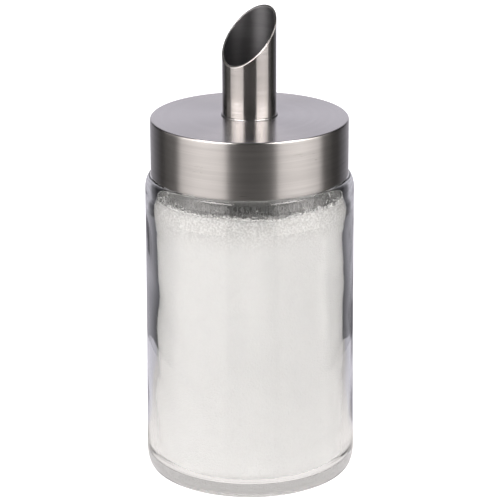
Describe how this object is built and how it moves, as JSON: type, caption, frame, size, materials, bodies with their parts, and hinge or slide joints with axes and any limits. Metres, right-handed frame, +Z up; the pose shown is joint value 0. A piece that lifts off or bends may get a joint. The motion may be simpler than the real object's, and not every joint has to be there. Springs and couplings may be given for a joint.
{
  "type": "sugar dispenser",
  "caption": "Clear glass sugar jar with a brushed steel screw lid and an upright slant-cut pouring spout closed inside by a small hinged flap.",
  "frame": {"origin": "centre of the base, on the surface that the jar stands on", "axes": "+Z up along the jar's and the spout's axis; -Y towards the low lip of the spout's mouth, +Y towards its high tip; +X completes the right-handed frame and runs along the flap's hinge pin"},
  "size_m": [0.0762, 0.0762, 0.17],
  "materials": {
    "jar_glass": "clear pressed glass, smooth",
    "lid_steel": "fine brushing round the skirt and across the top",
    "insert_plastic": "moulded, matte",
    "gasket_silicone": "translucent silicone, matte",
    "spout_steel": "fine polish, faint lines round the tube",
    "ring_steel": "polished",
    "seat_steel": "turned",
    "flap_steel": "stamped and brushed",
    "pin_steel": "polished"
  },
  "bodies": {
    "jar": {"jar": "jar_glass"},
    "gasket": {"lid_gasket": "gasket_silicone"},
    "lid": {"lid_shell": "lid_steel", "thread_insert": "insert_plastic", "spout_tube": "spout_steel", "spout_ring": "ring_steel", "flap_seat": "seat_steel", "flap_pin": "pin_steel"},
    "flap": {"flap": "flap_steel"}
  },
  "joints": [
    {"name": "lid_rise", "type": "slide", "parent": "jar", "child": "gasket", "axis": [0, 0, 1], "range_m": [0, 0.005]},
    {"name": "lid_turn", "type": "hinge", "parent": "gasket", "child": "lid", "pos_m": [0, 0, 0.12], "axis": [0, 0, 1], "range_deg": [0, 450]},
    {"name": "flap_swing", "type": "hinge", "parent": "lid", "child": "flap", "pos_m": [0, 0.0069, 0.1401], "axis": [-1, 0, 0], "range_deg": [0, 70]}
  ],
  "couplings": [
    {"joint": "lid_rise", "follows": "lid_turn", "m_per_rad": 0.00063662}
  ]
}
